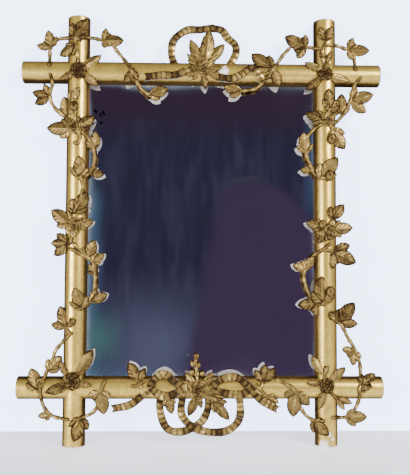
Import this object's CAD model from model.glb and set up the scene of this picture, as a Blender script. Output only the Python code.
# %% [markdown]
# # A gilded mirror frame with ivy sprays and ribbon bows
# The object is a wall mirror. Four round rods cross at the corners, and carved ivy, berries, flowers and
# two bows lie over them. The solid model gives every size and place. This file dresses it: it builds
# carved surfaces over the plain ornaments, gives each piece its finish, and sets a camera, a table, a
# wall and soft light.

# %% Load the solid model
import math
import bmesh
import bpy
import numpy as np
from collections import namedtuple
from mathutils import Matrix, Vector


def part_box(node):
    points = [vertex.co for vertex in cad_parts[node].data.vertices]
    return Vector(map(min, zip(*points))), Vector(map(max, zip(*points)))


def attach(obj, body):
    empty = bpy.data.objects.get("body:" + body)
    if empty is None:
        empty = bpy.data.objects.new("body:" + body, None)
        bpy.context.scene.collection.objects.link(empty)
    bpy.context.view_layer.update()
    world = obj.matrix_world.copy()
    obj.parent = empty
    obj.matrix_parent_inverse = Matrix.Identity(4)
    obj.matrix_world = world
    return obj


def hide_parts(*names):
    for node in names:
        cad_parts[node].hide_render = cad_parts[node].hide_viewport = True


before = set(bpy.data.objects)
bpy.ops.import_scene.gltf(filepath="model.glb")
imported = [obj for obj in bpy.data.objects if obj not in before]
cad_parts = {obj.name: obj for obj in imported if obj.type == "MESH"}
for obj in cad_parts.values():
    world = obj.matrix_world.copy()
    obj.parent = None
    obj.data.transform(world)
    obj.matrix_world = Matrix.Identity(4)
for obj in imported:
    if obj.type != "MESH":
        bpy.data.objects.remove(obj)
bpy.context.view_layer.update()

MM = 0.001

# %% [markdown]
# Every ornament was measured from a point on the rods' axes, so the rods' own boxes give those points.
# Reading them from the solid model, and not typing them again, keeps the carving on the rods if the frame
# changes.

# %% Rods and anchor points
stile = np.array(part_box("stile_right")) / MM
low_rail = np.array(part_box("rail_bottom")) / MM
top_rail = np.array(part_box("rail_top")) / MM
HALF_X = stile[:, 0].mean()
RADIUS = np.ptp(stile[:, 0]) / 2
LOW = low_rail[:, 2].mean()
TOP = top_rail[:, 2].mean()
MIDDLE = (LOW + TOP) / 2
ANCHORS = {
    "top_left": (-HALF_X, TOP), "top": (0, TOP), "top_right": (HALF_X, TOP),
    "left": (-HALF_X, MIDDLE), "right": (HALF_X, MIDDLE),
    "bottom_left": (-HALF_X, LOW), "bottom": (0, LOW), "bottom_right": (HALF_X, LOW),
}
print(f"rods {2 * RADIUS:.1f} mm thick, axes {2 * HALF_X:.0f} mm and {TOP - LOW:.0f} mm apart")

# %% [markdown]
# The photograph was taken from a little below the middle and slightly to the left. Its lens and place
# were worked out from the rods' crossings and ends. The three turns below take the frame's axes into the
# camera's.

# %% Camera
VIEW_TURN = np.radians([-3.16, 0.24, 1.6])
VIEW_DISTANCE = 1.2
VIEW_TARGET = np.array([6.1, 0.0, MIDDLE - 14.4]) * MM
LENS, SENSOR = 53.31, 36.0


def turn_about(axis, angle):
    """Matrix that turns vectors about one of the three axes, by the right-hand rule."""
    return np.array(Matrix.Rotation(angle, 3, axis))


def put(name, data):
    """New object in the scene."""
    made = bpy.data.objects.new(name, data)
    bpy.context.scene.collection.objects.link(made)
    return made


view_axes = turn_about("Y", VIEW_TURN[1]) @ turn_about("X", VIEW_TURN[0]) @ turn_about("Z", VIEW_TURN[2])
right, forward, up = view_axes
camera = put("camera", bpy.data.cameras.new("camera"))
camera.data.lens = LENS
camera.data.sensor_width = SENSOR
camera_axes = np.eye(4)
camera_axes[:3, :3] = np.stack([right, up, -forward], 1)
camera_axes[:3, 3] = VIEW_TARGET - VIEW_DISTANCE * forward
camera.matrix_world = Matrix(camera_axes)
bpy.context.scene.camera = camera
print("camera at", np.round(camera_axes[:3, 3], 3))

# %% [markdown]
# One helper turns arrays into a mesh. Almost everything carved here is a stack of rings: a stem is rings
# along its route, a berry is rings from pole to pole, and a leaf is rings that grow from its base out to
# its edge and come back underneath. So one function, the loft, can skin them all. Each point also carries
# a number, its tone, from 0 for a dark recess to 1 for a rubbed crest. The gilding's material reads it.

# %% Rings to skins, skins to pieces
def loft(rings, tone):
    """Closed skin over a stack of rings, with a fan of triangles over each end."""
    count, around = rings.shape[:2]
    points = np.vstack([rings.reshape(-1, 3), rings[:1].mean(1), rings[-1:].mean(1)])
    tone = np.broadcast_to(tone, (count, around))
    tones = np.concatenate([tone.ravel(), [tone[0].mean(), tone[-1].mean()]])
    index = np.arange(count * around).reshape(count, around)
    after = np.roll(index, -1, axis=1)
    quads = np.stack([index[:-1], after[:-1], after[1:], index[1:]], -1).reshape(-1, 4)
    start = np.stack([np.full(around, count * around), after[0], index[0]], -1)
    end = np.stack([np.full(around, count * around + 1), index[-1], after[-1]], -1)
    return points, quads, np.vstack([start, end]), tones


def piece_from(name, skins, material):
    """One smooth mesh, in metres, from several skins, with the tone on its points."""
    starts = np.cumsum([0] + [len(skin[0]) for skin in skins])
    points = np.vstack([skin[0] for skin in skins]) * MM
    quads = np.vstack([skin[1] + start for skin, start in zip(skins, starts)])
    triangles = np.vstack([skin[2] + start for skin, start in zip(skins, starts)])
    mesh = bpy.data.meshes.new(name)
    mesh.from_pydata(points.tolist(), [], quads.tolist() + triangles.tolist())
    tone = mesh.attributes.new("tone", "FLOAT", "POINT")
    tone.data.foreach_set("value", np.concatenate([skin[3] for skin in skins]).astype(np.float32))
    shell = bmesh.new()
    shell.from_mesh(mesh)
    bmesh.ops.recalc_face_normals(shell, faces=shell.faces)
    shell.to_mesh(mesh)
    shell.free()
    mesh.polygons.foreach_set("use_smooth", np.ones(len(mesh.polygons), bool))
    mesh.materials.append(material)
    return put(name, mesh)


# %% [markdown]
# Gilding is gold leaf over a red-brown clay on white gesso. It is bright where hands rub it, and brown
# where dirt stays in the hollows. One node group picks between the three colours by the tone, made
# uneven with two sizes of noise, so rods and ornaments share it, each with its own values.

# %% Node helpers
MIX_FIRST, MIX_SECOND, MIX_RESULT = 6, 7, 2


def feed(tree, made, given):
    """Sets a node's inputs, by name or number, to values, or links outputs to them."""
    for key, value in given.items():
        if isinstance(value, bpy.types.NodeSocket):
            tree.links.new(value, made.inputs[key])
        else:
            made.inputs[key].default_value = value


def node(tree, kind, given=None, **settings):
    """New shader node with its own properties and the inputs given."""
    made = tree.nodes.new(kind)
    for key, value in settings.items():
        setattr(made, key, value)
    feed(tree, made, given or {})
    return made


def operator(operation):
    """Function that makes one kind of math node from two numbers or outputs."""
    def apply(tree, first, second):
        return node(tree, "ShaderNodeMath", {0: first, 1: second}, operation=operation).outputs[0]
    return apply


plus, minus, times, over, larger = map(operator, ("ADD", "SUBTRACT", "MULTIPLY", "DIVIDE", "MAXIMUM"))


def centred(tree, value, reach):
    """A value from 0 to 1 as a swing about 0."""
    return times(tree, minus(tree, value, 0.5), reach)


def mix_colours(tree, share, first, second):
    """The first colour where the share is 0, and the second where it is 1."""
    given = {"Factor": share, MIX_FIRST: first, MIX_SECOND: second}
    return node(tree, "ShaderNodeMix", given, data_type="RGBA").outputs[MIX_RESULT]


def ramp(tree, value, low, high, start=0.0, stop=1.0):
    """Smooth step from start, where the value is low, to stop, where it is high."""
    given = {"Value": value, "From Min": low, "From Max": high, "To Min": start, "To Max": stop}
    return node(tree, "ShaderNodeMapRange", given, interpolation_type="SMOOTHSTEP").outputs["Result"]


def own_place(tree):
    """The object's own coordinates, which keep a pattern with its piece."""
    return node(tree, "ShaderNodeTexCoord").outputs["Object"]


def parts_of(tree, vector):
    """The X, Y and Z of a vector."""
    return node(tree, "ShaderNodeSeparateXYZ", {"Vector": vector}).outputs


def noise(tree, place, scale, detail=3.0, stretch=None, swirl=0.0):
    """Noise, finer as the scale grows; stretch squeezes it and swirl bends it."""
    if stretch:
        place = node(tree, "ShaderNodeMapping", {"Vector": place, "Scale": stretch}).outputs["Vector"]
    given = {"Vector": place, "Scale": scale, "Detail": detail, "Distortion": swirl}
    return node(tree, "ShaderNodeTexNoise", given).outputs["Fac"]


def bumps(tree, height, strength, depth):
    """Normals tilted by a height map."""
    given = {"Height": height, "Strength": strength, "Distance": depth}
    return node(tree, "ShaderNodeBump", given).outputs["Normal"]


# %% Gilding as a node group
GILDING_SOCKETS = {
    "INPUT": {"Tone": "Float", "Patchiness": "Float", "Grain": "Float",
              "Dirt": "Color", "Gold": "Color", "Rubbed": "Color"},
    "OUTPUT": {"Color": "Color", "Roughness": "Float", "Height": "Float"},
}
CLOUD_SCALE, CLOUD_DETAIL = 85, 4
SPECK_DETAIL, SPECK_REACH = 2, 0.3
DIRT_TO_GOLD = (0.05, 0.55)
GOLD_TO_RUBBED = (0.55, 1.0)
ROUGH_TO_SMOOTH = (0.1, 0.9, 0.6, 0.26)


def gilding_group():
    """Tone plus noise picks between dirt, gold and rubbed gold; rubbed gold is smoother."""
    group = bpy.data.node_groups.new("gilding", "ShaderNodeTree")
    for way, sockets in GILDING_SOCKETS.items():
        for name, kind in sockets.items():
            group.interface.new_socket(name, in_out=way, socket_type=f"NodeSocket{kind}")
    given = node(group, "NodeGroupInput").outputs
    place = own_place(group)
    cloud = noise(group, place, CLOUD_SCALE, CLOUD_DETAIL)
    speck = noise(group, place, given["Grain"], SPECK_DETAIL)
    drift = centred(group, cloud, given["Patchiness"])
    dust = centred(group, speck, SPECK_REACH)
    tone = plus(group, plus(group, given["Tone"], drift), dust)
    brown_to_gold = mix_colours(group, ramp(group, tone, *DIRT_TO_GOLD), given["Dirt"], given["Gold"])
    colour = mix_colours(group, ramp(group, tone, *GOLD_TO_RUBBED), brown_to_gold, given["Rubbed"])
    rough = ramp(group, tone, *ROUGH_TO_SMOOTH)
    node(group, "NodeGroupOutput", {"Color": colour, "Roughness": rough, "Height": plus(group, cloud, speck)})
    return group


GILDING = gilding_group()
print("node group", GILDING.name, "with", len(GILDING.nodes), "nodes")

# %% [markdown]
# The rods are rubbed bright in front and keep dirt at their flanks, so their tone follows the way each
# point faces. The ornaments read the tone from their points. Two places have lost gold down to white
# gesso: the right stile's lower end, and a patch beside the top rose.

# %% Gilt materials
GESSO = (0.78, 0.74, 0.68, 1)
RAW_WOOD = (0.2, 0.12, 0.06, 1)
CHIP_SCALE, CHIP_RAGGED, CHIP_CORE = 220, 0.018, 0.85
GILT_TO_BARE = (-0.3, -0.7)
BARE_ROUGHNESS = 0.9
SHEEN, SHEEN_TINT = 0.25, (0.6, 0.42, 0.2, 1)
GILT_RELIEF = 0.0006
FLANK_TO_FRONT = (-0.35, -0.95, -0.05, 0.7)
INTO_BACK = (0.93, 0.98, 0.0, 2.0)


def surface(name):
    """Material with its node tree and Principled shader."""
    material = bpy.data.materials.new(name)
    material.use_nodes = True
    return material, material.node_tree, material.node_tree.nodes["Principled BSDF"]


def chipped(tree, chips):
    """Mask of the chips: 1 where the distance to a chip's middle, made ragged with noise, is short."""
    place = own_place(tree)
    ragged = centred(tree, noise(tree, place, CHIP_SCALE), CHIP_RAGGED)
    mask = 0.0
    for middle, reach in chips:
        away = node(tree, "ShaderNodeVectorMath", {0: place, 1: middle}, operation="DISTANCE")
        gap = plus(tree, away.outputs["Value"], ragged)
        mask = larger(tree, ramp(tree, gap, reach * CHIP_CORE, reach, 1.0, 0.0), mask)
    return mask


def gilt(name, tone_of, back, chips=(), metal=0.75, relief=0.15, **values):
    """Gilding by tone; where the tone is below 0 the back is bare, and chips show gesso."""
    material, tree, shader = surface(name)
    tone = tone_of(tree)
    coat = node(tree, "ShaderNodeGroup", {"Tone": tone, **values}, node_tree=GILDING).outputs
    bare = ramp(tree, tone, *GILT_TO_BARE)
    colour = mix_colours(tree, bare, coat["Color"], back)
    if chips:
        lost = chipped(tree, chips)
        colour = mix_colours(tree, lost, colour, GESSO)
        bare = larger(tree, bare, lost)
    dull = times(tree, bare, BARE_ROUGHNESS)
    feed(tree, shader, {
        "Base Color": colour, "Metallic": times(tree, minus(tree, 1.0, bare), metal),
        "Roughness": larger(tree, coat["Roughness"], dull),
        "Specular IOR Level": SHEEN, "Specular Tint": SHEEN_TINT,
        "Normal": bumps(tree, coat["Height"], relief, GILT_RELIEF),
    })
    return material


def point_tone(tree):
    """Tone kept on the mesh's points."""
    return node(tree, "ShaderNodeAttribute", attribute_name="tone").outputs["Fac"]


def facing_tone(tree):
    """Tone from the object's own normal: light where it faces ahead, dark at the flanks, bare behind."""
    back = parts_of(tree, node(tree, "ShaderNodeTexCoord").outputs["Normal"])["Y"]
    return minus(tree, ramp(tree, back, *FLANK_TO_FRONT), ramp(tree, back, *INTO_BACK))


STILE_CHIPS = [((0.205, -0.018, 0.002), 0.009), ((0.2135, -0.019, 0.021), 0.0045),
               ((0.219, -0.017, 0.012), 0.003)]
RAIL_CHIPS = [((0.036, -0.019, TOP * MM + 0.002), 0.009)]
ROD_VALUES = {
    "Patchiness": 0.4, "Grain": 300.0,
    "Dirt": (0.055, 0.033, 0.01, 1), "Gold": (0.43, 0.285, 0.075, 1), "Rubbed": (0.97, 0.73, 0.12, 1),
}
LEAF_VALUES = {
    "Patchiness": 1.0, "Grain": 400.0,
    "Dirt": (0.028, 0.015, 0.007, 1), "Gold": (0.19, 0.127, 0.04, 1), "Rubbed": (0.95, 0.72, 0.24, 1),
}
ROD_GILT = gilt("rod_gilt", facing_tone, RAW_WOOD, **ROD_VALUES)
WORN_STILE_GILT = gilt("worn_stile_gilt", facing_tone, RAW_WOOD, STILE_CHIPS, **ROD_VALUES)
WORN_RAIL_GILT = gilt("worn_rail_gilt", facing_tone, RAW_WOOD, RAIL_CHIPS, **ROD_VALUES)
LEAF_GILT = gilt("leaf_gilt", point_tone, GESSO, metal=0.72, relief=0.3, **LEAF_VALUES)
print("gilt on rods and leaves, chips at", len(STILE_CHIPS) + len(RAIL_CHIPS), "places")

# %% [markdown]
# Behind the gold there is plain wood and brass. The plate is silvered glass: a smooth metal surface that
# is a little dull with age, with specks of dust and a few black spots where the silver has gone. Boards
# show grain that runs across, made by squeezing noise along one direction.

# %% Plate, wood and brass
PLATE_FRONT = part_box("mirror_plate")[0][1]
SPOT_PLACES = [(-0.182, -0.066), (-0.175, -0.073), (-0.169, -0.069), (-0.174, -0.084), (-0.184, -0.087)]
SPOT_RADIUS = 0.0028
SPOTS = [((x, PLATE_FRONT, TOP * MM + z), SPOT_RADIUS) for x, z in SPOT_PLACES]
SILVER, LOST_SILVER = (0.8, 0.81, 0.84, 1), (0.03, 0.025, 0.03, 1)
DUST = (0.6, 0.62, 0.6, 1)
DUST_SCALE, DUST_REACH, DUST_SHARE = 45, (0.01, 0.04, 1.0, 0.0), (0.7, 0.9)
HAZE_SCALE, HAZE_ROUGHNESS = 9, (0.4, 0.75, 0.03, 0.07)
WOOD_SCALE, WOOD_MIX, WOOD_ROUGHNESS = 60, (0.35, 0.7), 0.8
WOOD_STRENGTH, WOOD_RELIEF = 0.25, 0.0005
STAIN_SCALE, STAIN_MIX, STAIN_ROUGHNESS = 180, (0.4, 0.7), (0.3, 0.7, 0.3, 0.55)
CLEAN_BRASS, STAINED_BRASS = (0.5, 0.33, 0.12, 1), (0.22, 0.13, 0.05, 1)


def old_mirror():
    """Silver with lost spots, and dust in the middles of a few noise cells."""
    material, tree, shader = surface("old_mirror")
    place = own_place(tree)
    cells = node(tree, "ShaderNodeTexVoronoi", {"Vector": place, "Scale": DUST_SCALE}).outputs
    drawn = ramp(tree, parts_of(tree, cells["Color"])["X"], *DUST_SHARE)
    speck = times(tree, ramp(tree, cells["Distance"], *DUST_REACH), drawn)
    silver = mix_colours(tree, chipped(tree, SPOTS), SILVER, LOST_SILVER)
    haze = noise(tree, place, HAZE_SCALE, detail=5)
    feed(tree, shader, {
        "Base Color": mix_colours(tree, speck, silver, DUST), "Metallic": minus(tree, 1.0, speck),
        "Roughness": ramp(tree, haze, *HAZE_ROUGHNESS),
    })
    return material


def aged_wood(name, dark, light, stretch):
    """Dark and light wood mixed by noise that is squeezed along the grain."""
    material, tree, shader = surface(name)
    grain = noise(tree, own_place(tree), WOOD_SCALE, detail=6, stretch=stretch)
    colour = mix_colours(tree, ramp(tree, grain, *WOOD_MIX), dark, light)
    normal = bumps(tree, grain, WOOD_STRENGTH, WOOD_RELIEF)
    feed(tree, shader, {"Base Color": colour, "Roughness": WOOD_ROUGHNESS, "Normal": normal})
    return material


def dull_brass():
    """Brass that is darker and rougher in stains of noise."""
    material, tree, shader = surface("dull_brass")
    stain = noise(tree, own_place(tree), STAIN_SCALE, detail=4)
    colour = mix_colours(tree, ramp(tree, stain, *STAIN_MIX), CLEAN_BRASS, STAINED_BRASS)
    rough = ramp(tree, stain, *STAIN_ROUGHNESS)
    feed(tree, shader, {"Base Color": colour, "Roughness": rough, "Metallic": 1.0})
    return material


MIRROR = old_mirror()
BOARD_WOOD = aged_wood("board_wood", (0.12, 0.065, 0.03, 1), (0.28, 0.17, 0.09, 1), (0.12, 1, 1))
PEG_WOOD = aged_wood("peg_wood", (0.1, 0.055, 0.025, 1), (0.22, 0.13, 0.07, 1), (1, 0.2, 1))
BRASS = dull_brass()
FINISHES = {
    "stile_left": ROD_GILT, "stile_right": WORN_STILE_GILT, "rail_top": WORN_RAIL_GILT,
    "rail_bottom": ROD_GILT, "mirror_plate": MIRROR, "plate_slips": PEG_WOOD, "joint_pegs": PEG_WOOD,
    "backboard": BOARD_WOOD, "button_screws": BRASS, "turn_button": BRASS, "hanging": BRASS,
}
finished = 0
for name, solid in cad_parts.items():
    finish = next((made for start, made in FINISHES.items() if name.startswith(start)), None)
    if finish:
        solid.data.materials.clear()
        solid.data.materials.append(finish)
        finished += 1
print(finished, "plain pieces finished")

# %% [markdown]
# Ivy was carved apart and laid on the rods. So a height map comes first: how far the rods' fronts stand
# ahead of their axes at any point of the front view. Between the rods the sprays stand a little off, on
# their wires.

# %% Where a thing rests
STANDOFF = 9.0
STEM = 3.2
CLEAR = 3.4


def cover(x, z):
    """Height of the rods' fronts ahead of their axes: sqrt(R^2 - d^2) at distance d from the nearest axis."""
    off = np.minimum(np.abs(np.abs(x) - HALF_X), np.minimum(np.abs(z - LOW), np.abs(z - TOP)))
    return np.sqrt(np.clip(RADIUS ** 2 - off ** 2, 0, None))


def rest(x, z):
    """Height of a stem's or leaf's foot: on the rods, or at the stand-off beside them."""
    return np.maximum(STANDOFF, cover(x, z))


print("a stem on a rod's middle rests", round(float(rest(HALF_X, MIDDLE)), 1), "mm ahead of the axes")

# %% [markdown]
# An ivy leaf is a disc in polar form about its base. Each lobe is a pointed arch: at an angle t from the
# lobe's midrib the edge lies at L sin(a - t) / sin(a), where L is its length and a its opening. A web
# joins neighbouring lobes of one leaf at a share of their length. The leaf's edge is the farthest of its
# lobes and webs. An ivy leaf with one lobe gets two short shoulders, and one whose lobes all reach far
# the same way starts out on a stalk. The blade folds down from each midrib, with a crest on it and fine
# side veins.

# %% Leaf
LEAF_AROUND = 132
TOP_RINGS = [0.1, 0.22, 0.36, 0.5, 0.64, 0.77, 0.88, 0.96]
DISC = np.array([TOP_RINGS + [1.0, 0.96, 0.8, 0.5, 0.15]]).T
UNDER = np.arange(len(DISC))[:, None] >= len(TOP_RINGS)
BACK = UNDER & (DISC < 1)
BARE_BACK = -1.0
IVY_OPENING, SLIM_OPENING = math.radians(60), math.radians(45)
LEAST_EDGE = 1.1 * STEM
LONGEST_BLADE = 26
SHOULDER, SHOULDER_TURN = 0.6, math.radians(40)
WEB, WEB_DIP, WIDEST_WEB = 0.8, 0.2, 2.2
TIP_LIFT = 4.0
MIDRIB = np.array([0.4, 0.55, 0.7, 0.85, 1.0])
LEAF_FOLD, FOLD_SOFT = math.tan(math.radians(17)), 0.8
CREST, CREST_WIDTH = 0.55, 1.3
VEIN, VEIN_PITCH, VEIN_SLANT, VEIN_START = 0.5, 7.5, 0.9, 3
WAVE, CURL = 0.9, 1.2
EDGE_THICK, ROOT_THICK = 1.0, 1.8
NEAREST = 8
PLAIN, VARIED, ON_CREST, ON_VEIN = 0.38, 0.1, 0.16, 0.18
IN_VALLEY, AT_ROOT, AT_RIM = 0.7, 0.4, 0.35
ROOT_REACH, RIM_START, RIM_WIDTH = 0.2, 0.86, 0.1


def wrap(angle):
    """The same angle between minus and plus half a turn."""
    return (angle + math.pi) % (2 * math.pi) - math.pi


def tip_height(base, root, tip):
    """Height of a lobe's tip at which its straight midrib clears stems and rods."""
    line = base + MIDRIB[:, None] * (tip - base)
    needed = (cover(line[:, 0], line[:, 1]) + CLEAR - (1 - MIDRIB) * root) / MIDRIB
    return max(float(rest(*tip)) + TIP_LIFT, needed.max())


def webs(t, turn, reach):
    """Edge of the webs: a share of a length that goes from one lobe's to its neighbour's."""
    order = np.argsort(turn)
    turn, reach = turn[order, None], reach[order, None]
    gap = (np.roll(turn, -1, 0) - turn) % (2 * math.pi)
    share = ((t - turn) % (2 * math.pi)) / np.maximum(gap, 1e-6)
    spanned = (share < 1) & (gap < WIDEST_WEB)
    dip = 1 - WEB_DIP * np.sin(math.pi * np.clip(share, 0, 1))
    return (WEB * dip * (reach + share * (np.roll(reach, -1, 0) - reach)) * spanned).max(0)


def lobes_of(base, tips, ivy):
    """Base and lobes of a blade: what is too long becomes a stalk, and a single ivy lobe gets shoulders."""
    spans = tips - base
    mean = spans.mean(0)
    if len(tips) > 1:
        stalk = mean * max(0.0, 1 - LONGEST_BLADE / np.hypot(*mean))
        return base + stalk, spans - stalk
    if ivy:
        sides = [SHOULDER * turn_about("Z", sign * SHOULDER_TURN)[:2, :2] @ mean for sign in (-1, 1)]
        spans = np.vstack([spans, sides])
    return base, spans


def disc(x, z, t, edge, height, tone):
    """Skin of a polar disc about a place: rings at shares of its edge, bare on the back."""
    rings = np.stack([x + DISC * edge * np.cos(t), -height, z + DISC * edge * np.sin(t)], -1)
    return loft(rings, np.where(BACK, BARE_BACK, tone))


def leaf_outline(turn, reach, opening):
    """Angles t about the base, each lobe's turn from them, the edge there, and how much each lobe pulls."""
    t = np.linspace(-math.pi, math.pi, LEAF_AROUND, endpoint=False)
    for angle in turn:
        t[np.abs(wrap(t - angle)).argmin()] = wrap(angle)
    off = wrap(t - turn[:, None])
    lobes = reach[:, None] * np.sin(np.clip(opening - np.abs(off), 0, None)) / math.sin(opening)
    edge = np.maximum(np.maximum(lobes.max(0), webs(t, turn, reach)), LEAST_EDGE)
    pull = (lobes + 2 + np.cos(off)) ** NEAREST
    return t, off, edge, pull / pull.sum(0)


def leaf_tone(crest, veins, pull, seed):
    """Lighter on crests and veins; darker in valleys between lobes, at the root and at the rim."""
    ridge = (crest * pull).sum(1)
    lines = (veins * pull).sum(1)
    valley = 1 - pull.max(0)
    rim = np.clip((DISC - RIM_START) / RIM_WIDTH, 0, 1)
    tone = PLAIN + VARIED * math.sin(3 * seed) + ON_CREST * ridge + ON_VEIN * lines - IN_VALLEY * valley
    return tone - AT_ROOT * np.exp(-(DISC / ROOT_REACH) ** 2) - AT_RIM * rim


def leaf(base, tips, seed=0.0, ivy=True):
    """Polar disc: edge = max of L sin(a - |t|) / sin(a); height = midrib line - fold |d| + crest + veins."""
    base, spans = lobes_of(base, tips, ivy)
    reach = np.hypot(spans[:, 0], spans[:, 1])
    turn = np.arctan2(spans[:, 1], spans[:, 0])
    root = float(rest(*base)) + CLEAR
    rise = np.array([tip_height(base, root, base + span) - root for span in spans]) / reach
    t, off, edge, pull = leaf_outline(turn, reach, IVY_OPENING if ivy else SLIM_OPENING)
    out = DISC[:, :, None]
    along = out * edge * np.cos(off)
    aside = np.abs(out * edge * np.sin(off))
    crest = np.exp(-(aside / CREST_WIDTH) ** 2)
    stripes = np.cos(2 * math.pi * (along - VEIN_SLANT * aside) / VEIN_PITCH)
    veins = stripes * np.clip(aside / VEIN_START, 0, 1)
    fold = LEAF_FOLD * (np.hypot(aside, FOLD_SOFT) - FOLD_SOFT)
    heights = root + along * rise[:, None] - fold + CREST * crest + VEIN * veins
    height = (heights * pull).sum(1)
    height = height + WAVE * DISC ** 3 * np.sin(3 * t + 5 * seed) + CURL * DISC ** 2
    thick = EDGE_THICK + ROOT_THICK * (1 - DISC ** 2)
    height = height - np.where(DISC == 1.0, 0.5, 1.0) * thick * UNDER
    return disc(*base, t, edge, height, leaf_tone(crest, veins, pull, seed))


print("a leaf has", len(DISC), "rings of", LEAF_AROUND, "points")

# %% [markdown]
# A stem is a round profile carried along a smooth route. The route is a spline through the measured
# points, dropped on the rods, and the profile swells and thins a little as carved wood does. Berries are
# rings from pole to pole with a dimple in front.

# %% Stem and berry
SPAN_POINTS = 24
STEM_AROUND, STEM_STEP, STEM_SETTLE = 14, 1.6, 7
STEM_LIFT, STEM_END, STEM_TIP = 0.3 * STEM, 0.9 * STEM, 0.02
SWELL, SWELL_RUN = 0.1, 3.7
RIPPLE, RIPPLE_RUN = 0.08, 1.9
GROOVE, GROOVE_RUN = 0.07, 5
STEM_TONE, STEM_SHINE, STEM_PATCH, PATCH_RUN = 0.18, 0.4, 0.12, 2.6
BERRY_AROUND, BERRY_RINGS, BERRY_POLE = 24, 14, 0.06
BERRY_LIFT, BERRY_TONE = 0.4, 0.62
DIMPLE, DIMPLE_WIDTH = 0.16, 0.35
IN_DIMPLE, DARK_WIDTH = 0.4, 0.3
ON_FLANK, FLANK_START, FLANK_WIDTH = 0.5, 1.0, 0.6
BUD_RADIUS, BUD_TALL, BUD_SHADE, BUD_FOLD = 6.2, 1.22, 0.25, 0.12


def spline(points, step):
    """Curve through points: on each span p = sum of the four Catmull-Rom weights; evenly sampled."""
    padded = np.vstack([2 * points[0] - points[1], points, 2 * points[-1] - points[-2]])
    t = np.linspace(0, 1, SPAN_POINTS, endpoint=False)[:, None]
    weights = np.stack([-t + 2 * t ** 2 - t ** 3, 2 - 5 * t ** 2 + 3 * t ** 3, t + 4 * t ** 2 - 3 * t ** 3,
                        -t ** 2 + t ** 3]) / 2
    spans = np.stack([padded[:-3], padded[1:-2], padded[2:-1], padded[3:]])
    curve = np.vstack([np.einsum("wts,wkd->ktd", weights, spans).reshape(-1, points.shape[1]), points[-1:]])
    length = np.concatenate([[0], np.cumsum(np.linalg.norm(np.diff(curve, axis=0), axis=1))])
    even = np.linspace(0, length[-1], max(4, int(length[-1] / step)))
    return np.stack([np.interp(even, length, column) for column in curve.T], -1), even


def circle(count):
    """Angles evenly spread over one turn."""
    return np.linspace(0, 2 * math.pi, count, endpoint=False)


def smoothed(values, width):
    """Running mean of a line of values, with its ends held."""
    kernel = np.ones(width) / width
    return np.convolve(np.pad(values, width // 2, mode="edge"), kernel, mode="valid")[:len(values)]


def tube_frames(path):
    """Two directions across a path: in the plane of the front view, and ahead of it."""
    along = np.gradient(path, axis=0)
    along /= np.linalg.norm(along, axis=1, keepdims=True)
    across = np.cross(along, (0, 1, 0))
    across /= np.linalg.norm(across, axis=1, keepdims=True)
    return across, np.cross(along, across)


def stem(points, seed=0.0):
    """Tube: p(s) + r(s) (cos f across + sin f ahead), with r rounded off at both ends."""
    flat, s = spline(points, STEM_STEP)
    height = smoothed(rest(flat[:, 0], flat[:, 1]), STEM_SETTLE)
    path = np.stack([flat[:, 0], -height - STEM_LIFT, flat[:, 1]], -1)
    across, ahead = tube_frames(path)
    f = circle(STEM_AROUND)
    swell = 1 + SWELL * np.sin(s / SWELL_RUN + seed) + RIPPLE * np.sin(s / RIPPLE_RUN + 2 * seed)
    ends = np.sqrt(np.clip(np.minimum(s, s[-1] - s) / STEM_END, STEM_TIP, 1))
    radius = (STEM * swell * ends)[:, None, None]
    groove = (1 + GROOVE * np.cos(3 * f + s[:, None] / GROOVE_RUN))[:, :, None]
    ring = np.cos(f)[:, None] * across[:, None] + np.sin(f)[:, None] * ahead[:, None]
    front = np.clip(-ring[:, :, 1], 0, 1)
    tone = STEM_TONE + STEM_SHINE * front ** 2 + STEM_PATCH * np.sin(s / PATCH_RUN + seed)[:, None]
    return loft(path[:, None] + radius * groove * ring, tone)


def berry(x, z, radius, light=BERRY_TONE):
    """Ball: rings at angle a from the front pole, dimple exp(-(a/w)^2); a bud is taller and darker."""
    bud = radius > BUD_RADIUS
    a = np.linspace(BERRY_POLE, math.pi - BERRY_POLE, BERRY_RINGS)[:, None]
    f = circle(BERRY_AROUND)
    r = radius * (1 - DIMPLE * np.exp(-(a / DIMPLE_WIDTH) ** 2))
    middle = rest(x, z) + BERRY_LIFT * radius
    wide = r * np.sin(a)
    tall = wide * (BUD_TALL if bud else 1.0)
    rings = np.stack([x + wide * np.cos(f), -middle - r * np.cos(a) + 0 * f, z + tall * np.sin(f)], -1)
    light = light - BUD_SHADE if bud else light
    folds = BUD_FOLD * np.cos(5 * f) * np.sin(a) if bud else 0 * f
    flank = np.clip((a - FLANK_START) / FLANK_WIDTH, 0, 1)
    tone = light - IN_DIMPLE * np.exp(-(a / DARK_WIDTH) ** 2) - ON_FLANK * flank + folds
    return loft(rings, tone)


print("a berry has", BERRY_RINGS, "rings of", BERRY_AROUND, "points")

# %% [markdown]
# A flower is three rings of petals and a boss, and most of them lie closed like a small cabbage. A ring is
# a polar disc too. Its edge swings between petal tips and shallow notches, and its face climbs from one
# side of each petal to the other, so that every petal laps over the next.

# %% Flower
NOTCH = 0.86
PETAL_POINTS, PETAL_TURN = 26, 0.13
PETAL_LAP, PETAL_RIM, PETAL_THICK = 2.0, 0.6, 1.8
PETAL_LAYERS = [(1.0, 0, 1.0, 1.2), (0.74, 1, 2.6, 0.2), (0.46, 3, 4.0, -0.8)]
PETAL_TONE, ON_LAP, ON_EDGE = 0.1, 0.3, 0.34
EDGE_START, EDGE_WIDTH = 0.72, 0.2
BOSS, BOSS_TONE, BOSS_AHEAD, BOSS_SINK = 0.22, 0.3, 3.4, 0.1
SEAT_AROUND, SEAT_TONE = 40, 0.1
SEAT_WIDTHS, SEAT_BACK, SEAT_FRONT = np.array([0.5, 0.55, 0.55, 0.4]), (0.45, 0.4), (-3.0, -3.4)


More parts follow.
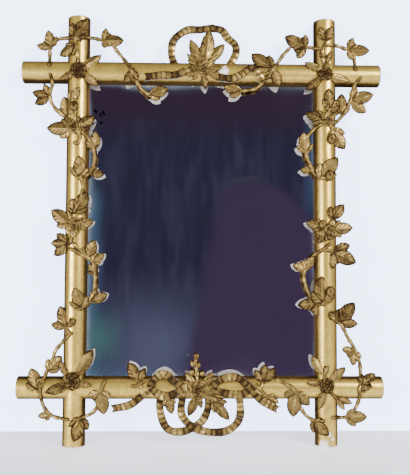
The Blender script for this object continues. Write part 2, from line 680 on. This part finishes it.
def petals(x, z, radius, count, face, sink, shade):
    """Disc: edge = R (n + (1 - n) |cos(k t / 2)|^0.5); face = lap across the petal - sink r^2."""
    t = circle(PETAL_POINTS * count)
    part = count * (t - PETAL_TURN) / (2 * math.pi) + 0.5
    swing = np.abs(np.cos(math.pi * (part - 0.5)))
    edge = radius * (NOTCH + (1 - NOTCH) * swing ** 0.5)
    climb = PETAL_LAP * DISC * (part % 1 - 0.5)
    height = face + climb - sink * DISC ** 2 - np.where(DISC == 1.0, PETAL_RIM, PETAL_THICK) * UNDER
    rim = np.clip((DISC - EDGE_START) / EDGE_WIDTH, 0, 1)
    tone = PETAL_TONE + ON_LAP * DISC * (part % 1) + ON_EDGE * rim * swing - shade
    return disc(x, z, t, edge, height, tone)


def flower(x, z, radius, count, shade):
    """Seat on the rod, three rings of petals, each smaller and further ahead, and a boss."""
    foot = float(rest(x, z))
    floor = foot + CLEAR
    boss = berry(x, z, BOSS * radius, BOSS_TONE - shade)
    boss[0][:, 1] -= floor + BOSS_AHEAD - foot - BOSS_SINK * radius
    wide = SEAT_WIDTHS[:, None] * radius
    deep = np.array([*(share * radius for share in SEAT_BACK), *SEAT_FRONT])[:, None] - floor + CLEAR
    f = circle(SEAT_AROUND)
    seat = np.stack([x + wide * np.cos(f), deep + 0 * f, z + wide * np.sin(f)], -1)
    layers = [petals(x, z, share * radius, count - fewer, floor + lift, sink, shade)
              for share, fewer, lift, sink in PETAL_LAYERS]
    return [loft(seat, SEAT_TONE), *layers, boss]


print("a flower has", len(PETAL_LAYERS), "rings of petals")

# %% [markdown]
# The bows are ruched ribbon: a flat band with a crowned face and ribs across it. The band is a profile
# carried along its route in a plane parallel to the glass. A low power of a sine along the route gives
# broad ribs with thin grooves between them, and the ends of the tails are forked.

# %% Ribbon
RIBBON_WIDTH, RIBBON_THICK, RIBBON_CROWN = 12.8, 3.0, 1.4
RIBBON_STEP, FACE_POINTS, REAR_POINTS = 0.7, 13, 7
RIB_PITCH, RIB_HEIGHT, RIB_POWER, RIB_DEPTH, RIB_FADE = 9.5, 0.9, 0.4, 0.6, 0.4
STRAY, STRAY_RUN = 1.8, 11
HEM_WAVE, HEM_RUN = 0.05, 6.5
BAND_TONE, ON_RIB, ON_HEM, BAND_PATCH, BAND_RUN = 0.25, 0.9, 0.2, 0.26, 7.3
LOOP_STANDOFF = 5.0
FORK_LENGTH, FORK_DEPTH = 9.0, 7.0


def band(ahead, points, seed=0.0, forked=False):
    """Band: at u from -1 to 1 across, the face stands half a thickness + crown (1 - u^2) + ribs ahead."""
    points = points if abs(points[0][0]) < abs(points[-1][0]) else points[::-1]
    flat, s = spline(points, RIBBON_STEP)
    path = np.stack([flat[:, 0], np.full(len(s), -ahead), flat[:, 1]], -1)
    across, _ = tube_frames(path)
    u = np.concatenate([np.linspace(-1, 1, FACE_POINTS), np.linspace(1, -1, REAR_POINTS)])
    front = np.arange(len(u)) < FACE_POINTS
    rib = np.abs(np.sin(math.pi * (s + STRAY * np.sin(s / STRAY_RUN + seed)) / RIB_PITCH))
    ribs = (RIB_HEIGHT * rib ** RIB_POWER - RIB_DEPTH)[:, None]
    width = RIBBON_WIDTH / 2 * (1 + HEM_WAVE * ribs + HEM_WAVE * np.sin(s / HEM_RUN + seed)[:, None])
    face = RIBBON_THICK / 2 + RIBBON_CROWN * (1 - u ** 2) + ribs * (1 - RIB_FADE * u ** 2)
    rings = path[:, None] + (width * u)[:, :, None] * across[:, None]
    rings[:, :, 1] -= np.where(front, face, -RIBBON_THICK / 2)
    if forked:
        near_end = np.clip(1 - (s[-1] - s) / FORK_LENGTH, 0, 1)[:, None]
        onward = (path[-1] - path[-2]) / np.linalg.norm(path[-1] - path[-2])
        rings += (near_end * (FORK_DEPTH * np.abs(u) - 0.5 * FORK_DEPTH))[:, :, None] * onward
    patch = BAND_PATCH * np.sin(s / BAND_RUN + seed)[:, None]
    tone = BAND_TONE + ON_RIB * ribs - ON_HEM * np.abs(u) ** 3 + patch
    return loft(rings, np.where(front, tone, BARE_BACK))


print("a rib every", RIB_PITCH, "mm of ribbon")

# %% [markdown]
# The layout of the ornament was read off the photograph by eye, in millimetres across and up from an
# anchor. A leaf is its base and the tips of its lobes, a vine its route, and a ribbon its stand-off and
# route, all as rows of numbers: across, up, across, up. A berry is its place and radius, and a flower its
# place, radius and petals.

# %% Layout of the ornament
KINDS = ["leaves", "vines", "berries", "flowers", "loops", "ribbons"]
Ornament = namedtuple("Ornament", ["anchor"] + KINDS, defaults=[[]] * len(KINDS))
ORNAMENTS = {
    "corner_flower_top_left": Ornament(
        "top_left", flowers=[(3, -1, 16, 8)],
        leaves=[(8, 2, 40, 28), (8, -4, 36, -26), (-3, -3, -30, -18)]),
    "corner_flower_top_right": Ornament(
        "top_right", flowers=[(-3, -2, 14, 7)], berries=[(2, 12, 5.2), (-13, 7, 5.2)],
        leaves=[(-8, 2, -38, 18), (-7, -6, -34, -29), (2, -5, 41, -14), (-3, 4, -10, 41, 9, 38)]),
    "corner_flower_bottom_left": Ornament(
        "bottom_left", flowers=[(-1, 13, 16, 8)],
        leaves=[(3, 19, 32, 65), (-6, 18, -24, 46), (5, 11, 31, 6), (-4, 7, -45, -5)]),
    "corner_flower_bottom_right": Ornament(
        "bottom_right", flowers=[(-3, 6, 14, 8)],
        leaves=[(-5, 11, -26, 55, 1, 40), (-8, 9, -36, 11), (1, 10, 31, 36), (-5, 0, -15, -33),
                (14, -14, 42, -25, 29, -36)], vines=[(0, 2, 8, -9, 17, -17)]),
    "rose_top": Ornament(
        "top", flowers=[(1, 6, 15, 7)],
        leaves=[(-5, 4, -31, 2), (-3, 2, -17, -16), (1, 0, 6, -30), (5, 7, 34, 4), (6, 2, 38, -15)]),
    "rose_bottom": Ornament(
        "bottom", flowers=[(-5, -2, 18, 8)], vines=[(-6, 5, -7, 24, -9, 50)],
        leaves=[(0, 3, 29, 20), (-6, -9, -21, -46), (2, -6, 48, -52, 45, -22, 23, -41), (-10, 2, -36, 15),
                (2, -5, 32, -4)],
        berries=[(-8, 53, 4.5), (-13, 40, 4.5), (-5, 38, 4.5), (-15, 26, 4.8), (-7, 23, 4.8),
                 (2, 24, 4.5)]),
    "mid_cluster_left": Ornament(
        "left", flowers=[(-2, 2, 16, 5)], vines=[(-3, -2, -5, -17, -7, -28)], berries=[(-2, -12, 5)],
        leaves=[(-7, 5, -41, 30), (4, 4, 30, 12), (-6, -26, -41, -26, -32, -10, -35, -47)]),
    "mid_cluster_right": Ornament(
        "right", berries=[(-8, 8, 6.5), (8, 10, 6), (5, -11, 7), (-9, -7, 6), (0, 0, 8)],
        leaves=[(7, 11, 4, 39, 30, 43), (-8, 4, -35, 12), (8, 0, 45, 3), (-3, -8, -17, -24)]),
    "stile_cluster_left_upper": Ornament(
        "left", flowers=[(-3, 171, 14, 6)], berries=[(-4, 205, 7.5)],
        vines=[(-9, 219, -3, 206, -3, 174), (0, 166, 7, 153, 2, 142, -6, 145)],
        leaves=[(-12, 215, 7, 236), (-8, 167, -51, 169), (2, 168, 29, 190)]),
    "stile_cluster_right_upper": Ornament(
        "right", flowers=[(0, 187, 13, 6)], berries=[(8, 154, 7.5)],
        vines=[(6, 208, 2, 188, 10, 168, 9, 158)],
        leaves=[(6, 205, 3, 240), (-6, 186, -35, 200), (9, 171, 32, 137), (4, 195, 22, 221)]),
    "bow_loop_top_left": Ornament("top", loops=[(0, (-45, 8, -53, 33, -49, 58, -28, 75, -4, 77, 20, 80))]),
    "bow_loop_top_right": Ornament("top", loops=[(3, (14, 79, 33, 75, 43, 62, 56, 50, 57, 33, 43, 8))]),
    "leaf_fan_top": Ornament(
        "top",
        leaves=[(5, 14, 12, 74), (-3, 15, -21, 57), (7, 15, 38, 50), (-6, 14, -27, 32), (0, 15, 1, 52),
                (7, 13, 27, 31)]),
    "ribbon_tail_top_left": Ornament("top", ribbons=[(1, (-95, -11, -70, -8, -45, -7, -24, 3))]),
    "ribbon_tail_top_right": Ornament(
        "top", ribbons=[(1, (28, -10, 50, -12, 68, -4, 83, 6, 95, -3, 101, -15))]),
    "bow_loop_bottom_left": Ornament(
        "bottom", loops=[(0, (-67, -5, -68, -38, -56, -67, -30, -72, 0, -57, 12, -34, 13, -8))]),
    "bow_loop_bottom_right": Ornament(
        "bottom", loops=[(5, (-30, -8, -32, -42, -14, -63, 14, -72, 46, -69, 65, -48, 64, -5))]),
    "bow_arch_bottom_left": Ornament(
        "bottom",
        ribbons=[(1, (-84, 2, -77, 16, -61, 25, -44, 12, -26, 1)),
                 (1.8, (-84, 3, -70, -8, -54, -11, -24, 4))]),
    "bow_arch_bottom_right": Ornament(
        "bottom",
        ribbons=[(1, (18, 5, 36, 17, 56, 20, 72, 11, 86, -4)), (1.8, (91, 8, 77, -3, 60, -9, 24, -3))]),
    "ribbon_tail_bottom_left": Ornament(
        "bottom", ribbons=[(-3, (-86, 1, -103, -16, -120, -27, -145, -32))]),
    "ribbon_tail_bottom_right": Ornament("bottom", ribbons=[(-3, (85, -3, 98, -17, 111, -25, 126, -33))]),
    "spray_bottom_left_rail": Ornament(
        "bottom", vines=[(-105, 16, -102, 8, -98, 0), (-117, 5, -105, 6, -93, 14)],
        leaves=[(-104, 12, -121, 43, -93, 34)]),
    "spray_bottom_right_rail": Ornament(
        "bottom", vines=[(105, 14, 101, 6, 97, -1), (91, 10, 98, 0, 112, -15)],
        leaves=[(104, 11, 107, 41, 125, 34, 90, 31), (111, -13, 130, -24)]),
    "spray_top_left_stile": Ornament(
        "top_left",
        vines=[(2, 10, -1, 34, -5, 59), (1, 55, -24, 57, -40, 52, -48, 37, -47, 5),
               (-9, 52, 20, 58, 44, 54)],
        leaves=[(-9, 54, 20, 86), (-3, 42, -31, 25), (-46, 40, -51, 70, -70, 43, -36, 60),
                (42, 54, 48, 75, 78, 53, 46, 39)]),
    "spray_top_left_rail": Ornament(
        "top_left", vines=[(56, 50, 70, 31, 86, 11, 95, -7, 106, -26, 123, -41)],
        leaves=[(95, 1, 80, -21, 102, -17), (121, -40, 154, -28, 141, -47)]),
    "spray_top_left_side": Ornament(
        "top_left", vines=[(-46, -5, -43, -22, -47, -43, -40, -61, -28, -74, -7, -88)],
        leaves=[(-47, -44, -76, -38, -72, -58, -57, -23), (-17, -80, -22, -44)]),
    "spray_top_right_rail": Ornament(
        "top", vines=[(152, 47, 137, 30, 122, 8, 109, -10, 92, -26, 68, -31)],
        leaves=[(119, 6, 84, 33), (121, 8, 131, -25, 111, -14), (70, -30, 36, -25, 46, -42)]),
    "spray_top_right_stile": Ornament(
        "top_right",
        vines=[(-3, 11, -7, 33, -2, 50), (-5, 40, -19, 45, -36, 47), (-3, 46, 16, 50, 39, 44),
               (46, 42, 50, 28, 50, 3)],
        leaves=[(-2, 47, -12, 79, 10, 80), (-34, 47, -71, 64, -35, 69, -50, 26),
                (38, 44, 49, 64, 76, 41, 49, 24)]),
    "spray_top_right_side": Ornament(
        "top_right", vines=[(62, -4, 50, -19, 43, -44, 34, -65, 20, -81, 2, -90)],
        leaves=[(43, -45, 53, -22, 82, -35, 69, -67), (28, -70, 27, -34)]),
    "vine_left_upper": Ornament(
        "left", vines=[(6, 165, 21, 149, 29, 130, 28, 105, 18, 90, 5, 82), (6, 90, 12, 70, 8, 48, -3, 24)],
        leaves=[(29, 132, 32, 164, 16, 147), (21, 95, 47, 90, 34, 106), (6, 84, 6, 121), (-2, 25, 20, 60)]),
    "vine_right_upper": Ornament(
        "right", vines=[(-6, 180, -23, 169, -34, 152, -34, 129, -27, 110, -17, 92, 4, 84)],
        berries=[(4, 91, 7.5)],
        leaves=[(-34, 131, -39, 166, -50, 143, -23, 146), (-22, 100, -45, 101, -31, 113),
                (-11, 86, 17, 121)]),
    "vine_left_lower": Ornament(
        "left",
        vines=[(-10, -34, 4, -41, 21, -52),
               (-5, -24, 14, -43, 30, -60, 33, -80, 32, -104, 22, -126, 6, -138)],
        leaves=[(20, -52, 32, -20), (29, -58, 49, -43), (32, -78, 23, -60), (22, -127, 55, -111, 37, -102),
                (12, -135, 1, -100)]),
    "vine_right_lower": Ornament(
        "right",
        vines=[(8, -22, -10, -36, -25, -48, -37, -70, -37, -90, -28, -113, -10, -130),
               (-8, -35, 2, -36, 13, -38), (-10, -129, -2, -116, 4, -105)], berries=[(4, -105, 7.5)],
        leaves=[(9, -37, 40, -26, 50, -57, 9, -67), (-36, -69, -58, -60, -22, -46), (-7, -127, -11, -79),
                (-16, -125, -50, -129, -33, -116, -19, -148)]),
    "vine_bottom_left_outer": Ornament(
        "bottom_left",
        vines=[(-1, 94, -16, 80, -30, 63, -36, 45, -46, 24, -54, 4), (-14, 104, -10, 96, -4, 90)],
        leaves=[(-13, 101, 5, 116, -38, 106, -24, 137), (-43, 29, -19, 54)]),
    "vine_bottom_left_lower": Ornament(
        "bottom_left", vines=[(-53, 3, -52, -21, -43, -38, -27, -48, -4, -50)], berries=[(-55, 12, 6.5)],
        leaves=[(-57, -2, -70, 34), (-36, -43, -58, -45)]),
    "vine_bottom_right_outer": Ornament(
        "bottom_right", vines=[(6, 120, 24, 106, 35, 86, 48, 63, 56, 38, 56, 10)],
        leaves=[(21, 110, 0, 129, 47, 144, 52, 108), (47, 62, 24, 66, 58, 51, 43, 38)]),
    "vine_bottom_right_lower": Ornament(
        "bottom_right", vines=[(56, 8, 52, 0, 54, -16, 46, -36, 30, -48, 4, -47)],
        leaves=[(55, 6, 81, 25), (31, -48, 67, -47), (53, 0, 70, 3)]),
    "spray_bottom_left_inner": Ornament(
        "bottom_left", vines=[(54, 17, 47, -2, 40, -29, 29, -42, 8, -50)],
        leaves=[(46, -3, 24, -13, 51, -43, 64, -15), (16, -46, 4, -84)]),
    "spray_bottom_right_inner": Ornament(
        "bottom_right", vines=[(-88, 15, -71, 9, -55, -4, -45, -31, -32, -48, -8, -60)],
        leaves=[(-54, -3, -75, -11, -58, -47, -30, -28), (-26, -53, 0, -75)]),
}
print(len(ORNAMENTS), "ornaments laid out")

# %% [markdown]
# Now each ornament of the solid model gets its carved piece. The piece stands for the plain solid and
# rides on the same body, so it stays with the frame in every pose. Round the two roses a few more small
# leaves are carved, where the photograph shows them crowded.

# %% Carve the ornaments
EXTRA_LEAVES = {
    "rose_bottom": [(-9, 4, -27, 27), (4, 4, 20, 28), (-11, -5, -40, -9), (3, -8, 30, -21),
                    (-4, -10, 1, -33)],
    "bow_arch_bottom_left": [(-55, -14, -48, -42)],
    "rose_top": [(-4, 10, -26, 21), (6, 10, 24, 22), (-2, 1, -30, -9)],
}
CORNER_SHADE = 0.2


def pairs(row):
    """Points from a row of numbers."""
    return np.reshape(row, (-1, 2))


def carved(name):
    """All skins of one ornament as one piece."""
    anchor, leaves, vines, berries, flowers, loops, ribbons = ORNAMENTS[name]
    shift = np.array(ANCHORS[anchor])
    seed = (sum(map(ord, name)) % 97) / 10
    ivy = not name.startswith(("leaf_fan", "rose", "corner_flower"))
    shade = CORNER_SHADE if name.startswith("corner") else 0.0
    tail = name.startswith("ribbon_tail")
    blades = [pairs(row) for row in leaves + EXTRA_LEAVES.get(name, [])]
    skins = [leaf(shift + blade[0], shift + blade[1:], seed + blade[0, 0], ivy) for blade in blades]
    stalks = [[blade[0], lobes_of(blade[0], blade[1:], ivy)[0]] for blade in blades]
    stalks = [ends for ends in stalks if np.ptp(ends, axis=0).max() > STEM]
    skins += [stem(shift + route, seed) for route in [*map(pairs, vines), *stalks]]
    skins += [berry(*(shift + place), radius) for *place, radius in berries]
    for *place, radius, count in flowers:
        skins += flower(*(shift + place), radius, count, shade)
    skins += [band(LOOP_STANDOFF + lift, shift + pairs(row), seed) for lift, row in loops]
    skins += [band(RADIUS + lift, shift + pairs(row), seed, tail) for lift, row in ribbons]
    return piece_from(f"carved_{name}", skins, LEAF_GILT)


triangles = 0
for name in ORNAMENTS:
    piece = carved(name)
    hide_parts(name)
    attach(piece, "frame")
    triangles += sum(len(face.vertices) - 2 for face in piece.data.polygons)
print("carved pieces hold", triangles, "triangles")

# %% [markdown]
# The photograph shows the mirror leaning back on a pale table against a pale wall. The part stays upright
# here, so table and wall are turned by the same lean instead. Both glow as a lit backdrop does, but the
# wall neither lights the frame nor shows in its gold. Both let light and views through from behind, so
# that the mirror's back can be looked at.

# %% Table and wall
LEAN = math.tan(math.radians(5))
FOOT_Y, WALL_Y = 0.012, 0.077
SPREAD = 3.0
GLOW_FROM = -0.3
SHEET_ROUGHNESS, SHEET_SHEEN = 0.9, 0.1
TABLE_COLOUR, TABLE_GLOW = (0.66, 0.69, 0.78, 1), (0.95, 1.9)
WALL_COLOUR, WALL_GLOW = (0.6, 0.72, 1.0, 1), (4.6, 4.6)


def flat_sheet(name, corners, material):
    """Object with one face."""
    mesh = bpy.data.meshes.new(name)
    mesh.from_pydata(corners, [], [(0, 1, 2, 3)])
    mesh.materials.append(material)
    return put(name, mesh)


def stage_sheet(name, corners, colour, glow):
    """One-sided sheet of the stage that glows, from one strength in front to another at the wall."""
    material, tree, shader = surface(name)
    depth = parts_of(tree, own_place(tree))["Y"]
    feed(tree, shader, {
        "Base Color": colour, "Roughness": SHEET_ROUGHNESS, "Specular IOR Level": SHEET_SHEEN,
        "Emission Color": colour, "Emission Strength": ramp(tree, depth, GLOW_FROM, WALL_Y, *glow),
    })
    behind = node(tree, "ShaderNodeNewGeometry").outputs["Backfacing"]
    shadow = node(tree, "ShaderNodeLightPath").outputs["Is Shadow Ray"]
    unseen = larger(tree, behind, shadow)
    clear = node(tree, "ShaderNodeBsdfTransparent").outputs["BSDF"]
    mix = node(tree, "ShaderNodeMixShader", {"Fac": unseen, 1: shader.outputs["BSDF"], 2: clear})
    feed(tree, tree.nodes["Material Output"], {"Surface": mix.outputs["Shader"]})
    sheet = flat_sheet(name, corners, material)
    return sheet


def across_stage(front, back):
    """Corners of a sheet between two lines that run across the stage, each given as y and z."""
    return [(-SPREAD, *front), (SPREAD, *front), (SPREAD, *back), (-SPREAD, *back)]


front_line = (-SPREAD, (-SPREAD - FOOT_Y) * LEAN)
corner_line = (WALL_Y, (WALL_Y - FOOT_Y) * LEAN)
top_line = (WALL_Y - SPREAD * LEAN, SPREAD)
stage_sheet("table", across_stage(front_line, corner_line), TABLE_COLOUR, TABLE_GLOW)
wall = stage_sheet("wall", across_stage(corner_line, top_line), WALL_COLOUR, WALL_GLOW)
wall.visible_glossy = False
wall.visible_diffuse = False
print("wall", round(WALL_Y / MM), "mm behind the axes at the table")

# %% [markdown]
# The glass looks dark because it shows the unlit side of the room. A sheet behind the camera plays that
# part, and only reflections can see it. It is painted in layers over near black: each layer is a colour in
# a soft box, given from 0 to 1 across the plate and down it. Last comes a plain purple shape with a round
# head at the lower right, and the pale rim of the room.

# %% The dark side of the room
ROOM_Y = -1.9
ROOM_LEFT, ROOM_RIGHT = -0.46, 0.56
ROOM_LOW, ROOM_HIGH = -0.19, 1.14
ROOM_MARGIN = 0.15
INSIDE, RIM_SOFT = (0.01, 0.985), 0.012
NIGHT = (0.03, 0.026, 0.058, 1)
STREAK = (0.052, 0.05, 0.098, 1)
PURPLE = (0.062, 0.038, 0.088, 1)
PALE_RIM = (0.3, 0.37, 0.45, 1)
ARC_LIGHT = (0.075, 0.085, 0.09, 1)
LAYERS = [
    ((0.045, 0.026, 0.048, 1), (-1, 2), (-1, 0.14), 0.09),
    ((0.13, 0.14, 0.23, 1), (0.1, 0.5), (0.78, 0.98), 0.2),
    ((0.075, 0.15, 0.24, 1), (-1, 0.04), (0.36, 2), 0.045),
    ((0.075, 0.17, 0.18, 1), (-1, 0.12), (0.79, 0.91), 0.07),
    ((0.08, 0.14, 0.26, 1), (-1, 0.3), (0.97, 2), 0.05),
    ((0.06, 0.11, 0.21, 1), (0.97, 2), (0.1, 0.42), 0.05),
    ((0.09, 0.22, 0.33, 1), (0.7, 2), (0.955, 2), 0.012),
]
WANDER, WANDER_SCALE = 0.05, 5
STREAK_SCALE, STREAK_STRETCH, STREAK_SWIRL, STREAK_MIX = 22, (1, 1, 0.16), 0.8, (0.35, 0.8)
HEAD_MIDDLE, HEAD_TOP, HEAD_BEND, HEAD_EDGE = 0.72, 0.33, 2.0, (-0.015, 0.02)
SIDE_SLOPE, SIDE_EDGE = 0.29, (0.66, 0.74)
ARC_ROWS, ARC_COLUMNS, ARC_SHARE = ((-0.012, 0.0), 0.012), ((0.62, 0.76), 0.06), 0.6


def span(tree, value, low, high):
    """0 to 1 between two numbers, and on beyond them."""
    return over(tree, minus(tree, value, low), high - low)


def between(tree, value, limits, soft):
    """1 inside an interval, falling to 0 over a soft edge."""
    rise = ramp(tree, value, limits[0] - soft, limits[0] + soft)
    return times(tree, rise, ramp(tree, value, limits[1] - soft, limits[1] + soft, 1.0, 0.0))


def boxed(tree, across, down, columns, rows, soft):
    """1 inside a box, falling to 0 over soft edges."""
    return times(tree, between(tree, across, columns, soft), between(tree, down, rows, soft))


def add_shape(tree, across, down, colour):
    """Purple below roof = top + bend (x - middle)^2 and right of a slope, with a pale arc along the roof."""
    off = minus(tree, across, HEAD_MIDDLE)
    bend = times(tree, times(tree, off, off), HEAD_BEND)
    under_roof = minus(tree, down, plus(tree, bend, HEAD_TOP))
    slope = plus(tree, across, times(tree, down, SIDE_SLOPE))
    shape = times(tree, ramp(tree, under_roof, *HEAD_EDGE), ramp(tree, slope, *SIDE_EDGE))
    arc = times(tree, between(tree, under_roof, *ARC_ROWS), between(tree, across, *ARC_COLUMNS))
    colour = mix_colours(tree, shape, colour, PURPLE)
    return mix_colours(tree, times(tree, arc, ARC_SHARE), colour, ARC_LIGHT)


def room_colour(tree):
    """Streaks over near black, layers in soft boxes, the purple shape, and the pale rim round it all."""
    place = own_place(tree)
    parts = parts_of(tree, place)
    wander = centred(tree, noise(tree, place, WANDER_SCALE, detail=4), WANDER)
    across = plus(tree, span(tree, parts["X"], ROOM_LEFT, ROOM_RIGHT), wander)
    down = plus(tree, span(tree, parts["Z"], ROOM_HIGH, ROOM_LOW), wander)
    streaks = noise(tree, place, STREAK_SCALE, detail=5, stretch=STREAK_STRETCH, swirl=STREAK_SWIRL)
    colour = mix_colours(tree, ramp(tree, streaks, *STREAK_MIX), NIGHT, STREAK)
    for paint, columns, rows, soft in LAYERS:
        colour = mix_colours(tree, boxed(tree, across, down, columns, rows, soft), colour, paint)
    colour = add_shape(tree, across, down, colour)
    return mix_colours(tree, boxed(tree, across, down, INSIDE, INSIDE, RIM_SOFT), PALE_RIM, colour)


def dark_room():
    """Sheet a little larger than what the plate can show."""
    wide = ROOM_MARGIN * (ROOM_RIGHT - ROOM_LEFT)
    tall = ROOM_MARGIN * (ROOM_HIGH - ROOM_LOW)
    left, right_edge = ROOM_LEFT - wide, ROOM_RIGHT + wide
    low, high = ROOM_LOW - tall, ROOM_HIGH + tall
    corners = [(left, low), (left, high), (right_edge, high), (right_edge, low)]
    material, tree, _ = surface("dark_room")
    glow = node(tree, "ShaderNodeEmission", {"Color": room_colour(tree)})
    feed(tree, tree.nodes["Material Output"], {"Surface": glow.outputs["Emission"]})
    room = flat_sheet("dark_room", [(x, ROOM_Y, z) for x, z in corners], material)
    room.visible_camera = False
    room.visible_diffuse = False
    room.visible_shadow = False


dark_room()
print("dark sheet", round(ROOM_RIGHT - ROOM_LEFT, 2), "m wide behind the camera,", len(LAYERS), "layers")

# %% [markdown]
# Two large soft lights stand in front, the stronger one high on the right and the other low on the left. A
# weak one behind is for looking at the back. A pale sky all round fills the shadows.

# %% Light
AIM = Vector((0, 0, 0.4))
LIGHTS = {
    "key_light": ((1.2, -1.5, 1.1), 0.8, 70, (1.0, 0.97, 0.92)),
    "fill_light": ((-1.3, -1.4, 0.35), 0.8, 50, (1.0, 0.98, 0.95)),
    "back_light": ((0.5, 1.8, 1.1), 1.2, 22, (1.0, 0.98, 0.95)),
}
SKY, SKY_STRENGTH = (0.9, 0.93, 1.0, 1), 0.18


def soft_light(name, place, size, power, colour):
    """Square area light that faces the mirror's middle."""
    lamp = bpy.data.lights.new(name, "AREA")
    lamp.size = size
    lamp.energy = power
    lamp.color = colour
    lit = put(name, lamp)
    lit.location = place
    lit.rotation_euler = (Vector(place) - AIM).to_track_quat("Z", "Y").to_euler()


for name, values in LIGHTS.items():
    soft_light(name, *values)
world = bpy.data.worlds.new("pale_sky")
world.use_nodes = True
feed(world.node_tree, world.node_tree.nodes["Background"], {"Color": SKY, "Strength": SKY_STRENGTH})
bpy.context.scene.world = world
print(len(LIGHTS), "soft lights and a pale sky")
